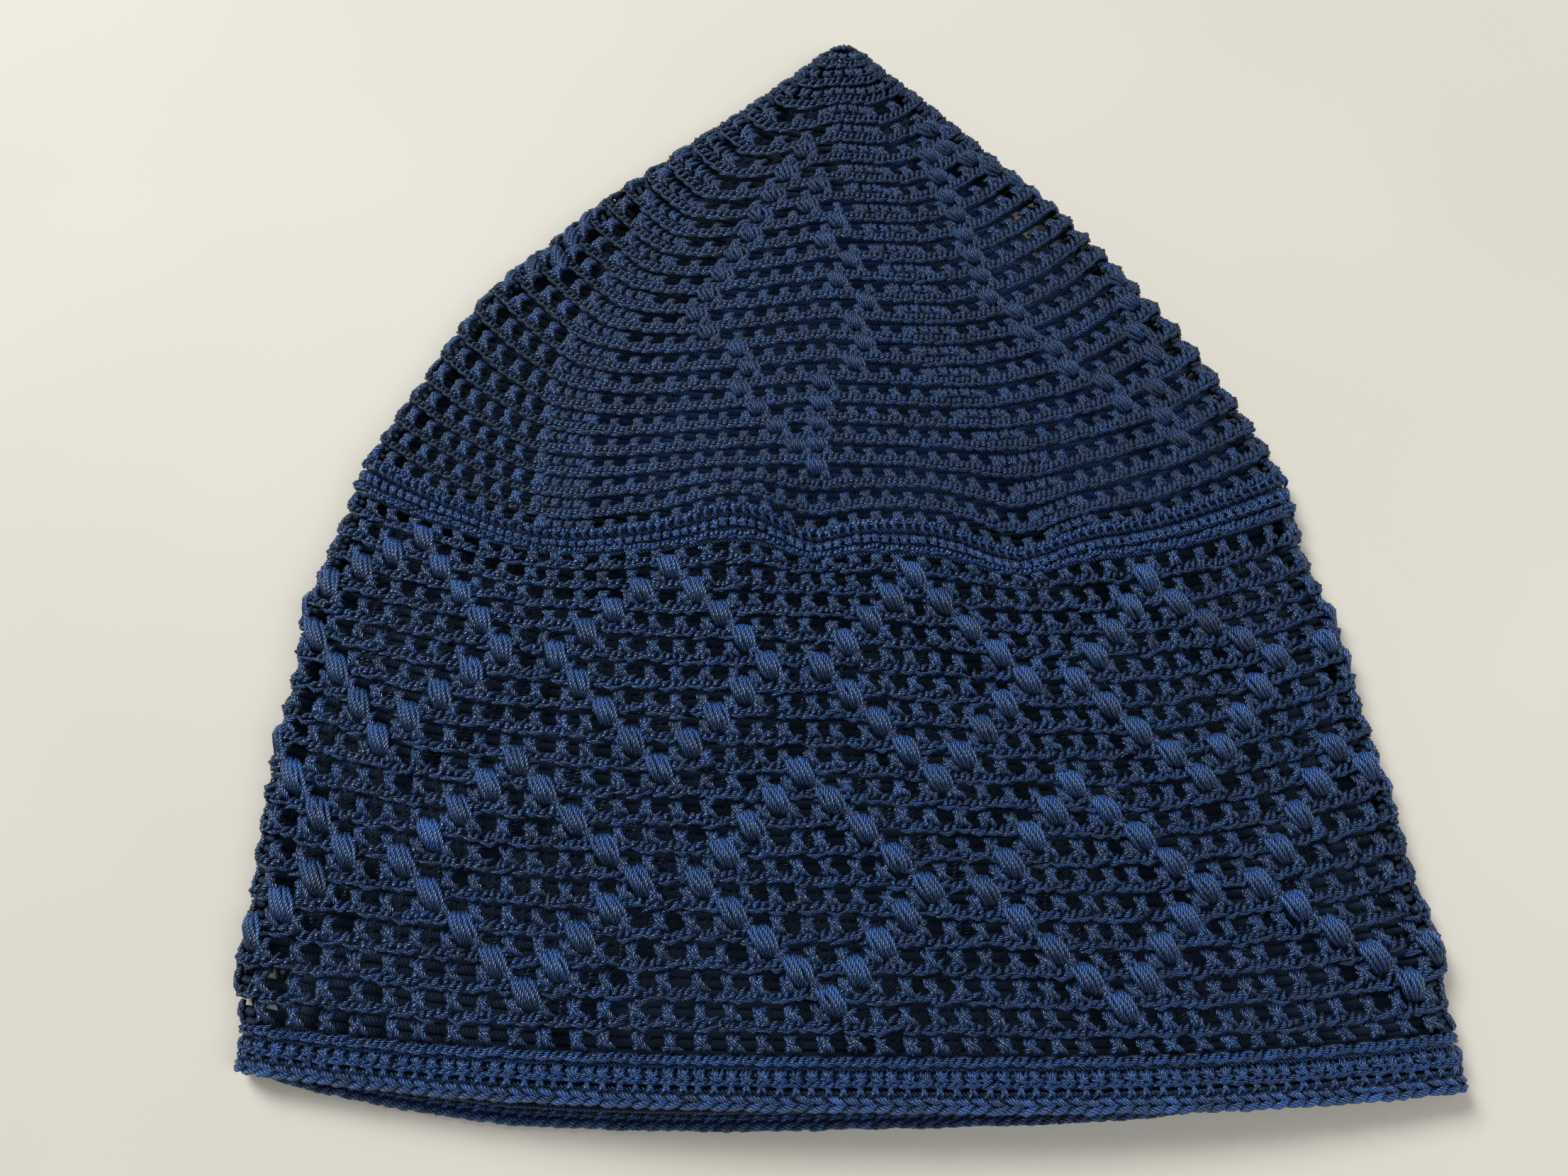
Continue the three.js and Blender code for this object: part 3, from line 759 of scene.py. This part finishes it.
CROWN_TOP_ROW = 6
CROWN_LOW_ROW = 22
CROWN_GROW = 0.5             # cells that each side of a diamond grows or shrinks by in a round
DIAMOND_PULL_ROWS = (14, 16, 18, 21)
DIAMOND_PULLS = {0: (0.0, 1.1, 1.0, 0.2), 1: (0.0, -0.6, -1.4, -2.5)}


def pull_at(row, rows, pulls, sector):
    """How far the ladder or diamond of a sector is pulled to the right in a round."""
    if sector not in pulls:
        return 0.0
    return np.interp(row, rows, pulls[sector])


def ladder_turn(row, sector):
    """Place of a ladder's middle in a round."""
    pull = pull_at(row, LADDER_PULL_ROWS, LADDER_PULLS, sector % SECTORS)
    return np.interp(row, LADDER_ROWS, LADDER_TURNS) + sector / SECTORS + pull


def crown_puff_cells(row, sector, cells):
    """Cells of a sector that hold a puff in a round."""
    if not CROWN_TOP_ROW <= row <= CROWN_LOW_ROW:
        return np.array([], int)
    offset = CROWN_GROW * min(row - CROWN_TOP_ROW, CROWN_LOW_ROW - row)
    middle = (cells - 1) / 2 + pull_at(row, DIAMOND_PULL_ROWS, DIAMOND_PULLS, sector)
    return np.array(sorted({int(round(middle - offset)), int(round(middle + offset))}))


def lay_crown_bars(bars, row, loop):
    """Lays the bars of a round: those of the open mesh, and the full ones from the first ladder on."""
    low_round = TIP_ROUND - row
    cells = max(int(loop / CROWN_CELL), CROWN_LEAST_CELLS)
    yarn = np.interp(row, TIP_BAR_ROWS, (TIP_BAR_YARN, CROWN_BAR_YARN))
    lift = np.interp(row, TIP_BAR_ROWS, (0.0, CROWN_BAR_LIFT))
    open_to = max(ladder_turn(row, 0) - LADDER_WIDTH / 2 / loop, 0.0)
    lay_bar(bars, low_round, cells, OPEN_BAR_TALL, OPEN_BAR_YARN, OPEN_BAR_SHADE, OPEN_BAR_LIFT, CROWN_LOOSE,
            (0.0, open_to))
    lay_bar(bars, low_round, cells, CROWN_BAR_TALL, yarn, CROWN_SHADE, lift, CROWN_LOOSE, (open_to, 1.0))


def lay_ladder(ladders, row, sector, loop):
    """Lays the solid stitches of one ladder in a round."""
    steps = np.arange(LADDER_STITCHES) - (LADDER_STITCHES - 1) / 2
    turn = ladder_turn(row, sector) + steps * LADDER_PITCH / loop
    lay_round(ladders, SOLID, turn, TIP_ROUND - row, LADDER_PITCH / loop, LADDER_TALL, loose=CROWN_LOOSE)


def lay_sector(posts, puffs, under, row, sector, loop):
    """Lays the posts and puffs of a round between one ladder and the next."""
    low_round = TIP_ROUND - row
    ladder = ladder_turn(row, sector)
    first = ladder + LADDER_WIDTH / 2 / loop
    open_turns = ladder_turn(row, sector + 1) - ladder - LADDER_WIDTH / loop
    cells = max(int(round(open_turns * loop / CROWN_CELL)), 1)
    width = open_turns / cells
    post_turn = first + np.arange(cells + 1) * open_turns / cells
    if sector == SECTORS - 1:
        lay_posts(posts, under, post_turn, low_round, width, OPEN_POST_TALL, OPEN_POST_SHADE, OPEN_POST_LIFT,
                  CROWN_LOOSE, OPEN_POST_YARN)
    else:
        lay_posts(posts, under, post_turn, low_round, width, CROWN_POST_TALL, CROWN_SHADE, CROWN_POST_LIFT,
                  CROWN_LOOSE)
    puff_turn = first + (crown_puff_cells(row, sector, cells) + 0.5) * width
    lay_puffs(puffs, puff_turn, low_round + 0.5, CROWN_PUFF_WIDTH * width, CROWN_PUFF_TALL, CROWN_PUFF_SHADE,
              CROWN_PUFF_LIFT)


def crown():
    """Rounds of mesh from the tip down, with ladders and diamonds, and the loops that gather the tip."""
    bars, posts, puffs, ladders, under = Strands(), Strands(), Strands(), Strands(), Strands()
    for row in range(1, CROWN_ROWS + 1):
        low_round = TIP_ROUND - row
        loop = loop_length(low_round + 0.5)
        thin_turns = THIN_TURNS if row in THIN_ROWS else None
        lay_under(under, low_round, CROWN_UNDER_PAINTED_LIGHT, thin_turns, CROWN_FADE)
        if row < CROWN_ROWS:
            lay_crown_bars(bars, row, loop)
        if row <= TIP_ROWS:
            count = int(loop / LADDER_PITCH)
            lay_round(ladders, SOLID, np.arange(count) / count, low_round, 1 / count)
            continue
        for sector in range(SECTORS):
            lay_ladder(ladders, row, sector, loop)
            lay_sector(posts, puffs, under, row, sector, loop)
    turn = np.arange(TIP_LOOPS) / TIP_LOOPS
    lay_stitches(ladders, TIP_LOOP, turn, TIP_ROUND - TIP_LOOP_DOWN, 1 / TIP_LOOPS, radius=TIP_LOOP_YARN)
    return {"crown_bars": bars, "crown_posts": posts, "crown_puffs": puffs, "crown_ladders": ladders,
            "crown_under": under}


# Materials

NAVY_SHADOW = (0.001, 0.003, 0.012)
NAVY = (0.005, 0.016, 0.055)
NAVY_LIGHT = (0.016, 0.064, 0.25)
NAVY_BRIGHT = (0.045, 0.140, 0.46)
YARN_RAMP = ((0.20, NAVY_SHADOW), (0.48, NAVY), (0.68, NAVY_LIGHT), (0.95, NAVY_BRIGHT))
BASE_TONE = 0.25             # tone of a strand whose shade is 0
PLY_SHARPNESS = 2.2          # how narrow the light along the middle of each ply is
SHADE_STEP = 0.32            # how much a strand's own shade counts in its tone
FIBRE_STEP = 0.18            # and how much its fibres do
FIBRE_SCALE = 1400           # waves of the fine noise in a metre
FIBRE_DETAIL = 2
FIBRE_RELIEF = 0.25          # height of the fibres, where that of a ply is 1
RELIEF_DEPTH = 0.26          # mm
YARN_IOR = 1.6
GLOSS_TINT = (0.62, 0.80, 1.0)
SHEEN = 0.06
SHEEN_ROUGHNESS = 0.4
SHEEN_TINT = (0.25, 0.5, 1.0)

FLOOR_DARK = (0.73, 0.66, 0.55)
FLOOR_LIGHT = (0.81, 0.75, 0.65)
FLOOR_PATCHES = 9            # scale of its faint patches
FLOOR_ROUGHNESS = 0.7


def math_node(tree, operation, first, second=None):
    node = tree.nodes.new("ShaderNodeMath")
    node.operation = operation
    for socket, value in zip(node.inputs, (first, second)):
        if isinstance(value, (int, float)):
            socket.default_value = value
        elif value is not None:
            tree.links.new(value, socket)
    return node.outputs[0]


def noise_node(tree, scale):
    """Noise fixed to the object."""
    noise = tree.nodes.new("ShaderNodeTexNoise")
    noise.inputs["Scale"].default_value = scale
    place = tree.nodes.new("ShaderNodeTexCoord")
    tree.links.new(place.outputs["Object"], noise.inputs["Vector"])
    return noise


def ramp_node(tree, tone, stops):
    """Colours by tone, through stops that hold a tone and a colour each."""
    ramp = tree.nodes.new("ShaderNodeValToRGB")
    elements = ramp.color_ramp.elements
    for element, (position, colour) in zip(elements, (stops[0], stops[-1])):
        element.position = position
        element.color = (*colour, 1)
    for position, colour in stops[1:-1]:
        elements.new(position).color = (*colour, 1)
    tree.links.new(tone, ramp.inputs[0])
    return ramp.outputs[0]


def ply_wave(tree):
    """Plies that turn round a strand: 0 between them, and 1 along their middles."""
    uv = tree.nodes.new("ShaderNodeUVMap")
    uv.uv_map = "yarn"
    split = tree.nodes.new("ShaderNodeSeparateXYZ")
    tree.links.new(uv.outputs["UV"], split.inputs[0])
    phase = math_node(tree, "SUBTRACT", split.outputs["X"], split.outputs["Y"])
    wave = math_node(tree, "SINE", math_node(tree, "MULTIPLY", phase, np.pi * PLIES))
    return math_node(tree, "ABSOLUTE", wave)


def yarn_tone(tree, ply, fibre, ply_painted_contrast):
    """Tone of the yarn: painted shade between its plies and painted light along their middles, its fibres,
    and the shade of its strand.
    """
    shade = tree.nodes.new("ShaderNodeAttribute")
    shade.attribute_name = "shade"
    ply_painted_light = math_node(tree, "POWER", ply, PLY_SHARPNESS)
    tone = math_node(tree, "ADD", math_node(tree, "MULTIPLY", ply_painted_light, ply_painted_contrast),
                     math_node(tree, "MULTIPLY", shade.outputs["Fac"], SHADE_STEP))
    tone = math_node(tree, "ADD", tone, math_node(tree, "MULTIPLY", fibre, FIBRE_STEP))
    return math_node(tree, "ADD", tone, BASE_TONE - ply_painted_contrast / 2)


def yarn_material(name, roughness, gloss, ply_painted_contrast):
    """Plied yarn: the plies turn round each strand, with painted shade between them and painted light along
    their middles, and each strand has a shade, which in places is painted light and shade.
    """
    material = bpy.data.materials.new(name)
    material.use_nodes = True
    tree = material.node_tree
    shader = tree.nodes["Principled BSDF"]
    noise = noise_node(tree, FIBRE_SCALE)
    noise.inputs["Detail"].default_value = FIBRE_DETAIL
    fibre = noise.outputs["Fac"]
    ply = ply_wave(tree)
    colour = ramp_node(tree, yarn_tone(tree, ply, fibre, ply_painted_contrast), YARN_RAMP)
    relief = math_node(tree, "ADD", ply, math_node(tree, "MULTIPLY", fibre, FIBRE_RELIEF))
    bump = tree.nodes.new("ShaderNodeBump")
    bump.inputs["Strength"].default_value = 1.0
    bump.inputs["Distance"].default_value = RELIEF_DEPTH * MM
    tree.links.new(relief, bump.inputs["Height"])
    tree.links.new(bump.outputs[0], shader.inputs["Normal"])
    tree.links.new(colour, shader.inputs["Base Color"])
    shader.inputs["Roughness"].default_value = roughness
    shader.inputs["IOR"].default_value = YARN_IOR
    shader.inputs["Specular IOR Level"].default_value = gloss
    shader.inputs["Specular Tint"].default_value = (*GLOSS_TINT, 1)
    shader.inputs["Sheen Weight"].default_value = SHEEN
    shader.inputs["Sheen Roughness"].default_value = SHEEN_ROUGHNESS
    shader.inputs["Sheen Tint"].default_value = (*SHEEN_TINT, 1)
    return material


def floor_material():
    """A pale surface with faint patches."""
    material = bpy.data.materials.new("pale_floor")
    material.use_nodes = True
    tree = material.node_tree
    shader = tree.nodes["Principled BSDF"]
    noise = noise_node(tree, FLOOR_PATCHES)
    colour = ramp_node(tree, noise.outputs["Fac"], ((0.0, FLOOR_DARK), (1.0, FLOOR_LIGHT)))
    tree.links.new(colour, shader.inputs["Base Color"])
    shader.inputs["Roughness"].default_value = FLOOR_ROUGHNESS
    return material


# The pieces in the scene: what makes them, the CAD node that they replace, their slot and material

# the last figure of each yarn sets how strongly shade is painted between its plies and light along their
# middles
MESH_MATERIAL = yarn_material("navy_mesh_yarn", roughness=0.38, gloss=1.0, ply_painted_contrast=0.48)
CROWN_MATERIAL = yarn_material("navy_crown_yarn", roughness=0.46, gloss=0.85, ply_painted_contrast=0.40)
DENSE_MATERIAL = yarn_material("navy_dense_yarn", roughness=0.38, gloss=1.0, ply_painted_contrast=0.48)
EDGE_MATERIAL = yarn_material("navy_edge_yarn", roughness=0.46, gloss=1.0, ply_painted_contrast=0.22)
PRESSED_MATERIAL = yarn_material("navy_pressed_yarn", roughness=0.75, gloss=0.6, ply_painted_contrast=0.15)

PIECES = (
    (edge_braid, "edge_cord", "braided_edge", EDGE_MATERIAL),
    (band, "band", "dense_crochet", DENSE_MATERIAL),
    (side_wall, "side_wall", "mesh_crochet", MESH_MATERIAL),
    (ridge_welt, "ridge_welt", "dense_crochet", DENSE_MATERIAL),
    (crown, "crown", "mesh_crochet", CROWN_MATERIAL),
)


def dress():
    """Adds every piece of yarn to the frame, and prints its triangles."""
    total = 0
    for make, node, slot, material in PIECES:
        for name, strands in make().items():
            mesh = strands.mesh(name)
            mesh.materials.append(PRESSED_MATERIAL if name.endswith("under") else material)
            piece = bpy.data.objects.new(name, mesh)
            bpy.context.scene.collection.objects.link(piece)
            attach(piece, "root")
            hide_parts(node)
            total += strands.triangles()
            print(name, strands.triangles(), "triangles")
    print("all", total, "triangles")


# Floor, camera and light, in metres and watts

FLOOR_SIZE = 6.0
CAMERA_PLACE = Vector((-0.0120, -0.0947, 0.2583))
CAMERA_AIM = Vector((-0.0120, -0.0157, 0.0))
CAMERA_LENS = 28.09          # mm
CAMERA_SENSOR = 36           # its width in mm
CAMERA_NEAR = 0.01           # where its view starts
LIGHTS = (                   # name, place, size, power and colour
    ("key", (-0.9, 1.0, 1.35), 0.75, 33.0, (0.94, 0.98, 1.0)),
    ("fill", (0.6, -0.3, 0.8), 0.7, 3.5, (0.92, 0.97, 1.0)),
)
STUDIO_COLOUR = (0.88, 0.92, 1.0)
STUDIO_STRENGTH = 0.22


def add_floor():
    bpy.ops.mesh.primitive_plane_add(size=FLOOR_SIZE)
    floor = bpy.context.object
    floor.name = "floor"
    floor.data.materials.append(floor_material())


def add_camera():
    data = bpy.data.cameras.new("camera")
    data.lens = CAMERA_LENS
    data.sensor_width = CAMERA_SENSOR
    data.clip_start = CAMERA_NEAR
    camera = bpy.data.objects.new("camera", data)
    camera.location = CAMERA_PLACE
    camera.rotation_euler = (CAMERA_AIM - CAMERA_PLACE).to_track_quat("-Z", "Y").to_euler()
    bpy.context.scene.collection.objects.link(camera)
    bpy.context.scene.camera = camera


def add_light(name, place, size, power, colour):
    """Adds a soft light that points at the cap."""
    data = bpy.data.lights.new(name, "AREA")
    data.size = size
    data.energy = power
    data.color = colour
    light = bpy.data.objects.new(name, data)
    light.location = place
    light.rotation_euler = (-Vector(place)).to_track_quat("-Z", "Y").to_euler()
    bpy.context.scene.collection.objects.link(light)


def add_studio():
    """Adds the soft light from all round."""
    world = bpy.data.worlds.new("studio")
    world.use_nodes = True
    background = world.node_tree.nodes["Background"]
    background.inputs["Color"].default_value = (*STUDIO_COLOUR, 1)
    background.inputs["Strength"].default_value = STUDIO_STRENGTH
    bpy.context.scene.world = world
    bpy.context.scene.view_settings.view_transform = "Standard"


add_camera()
dress()
add_floor()
for light in LIGHTS:
    add_light(*light)
add_studio()
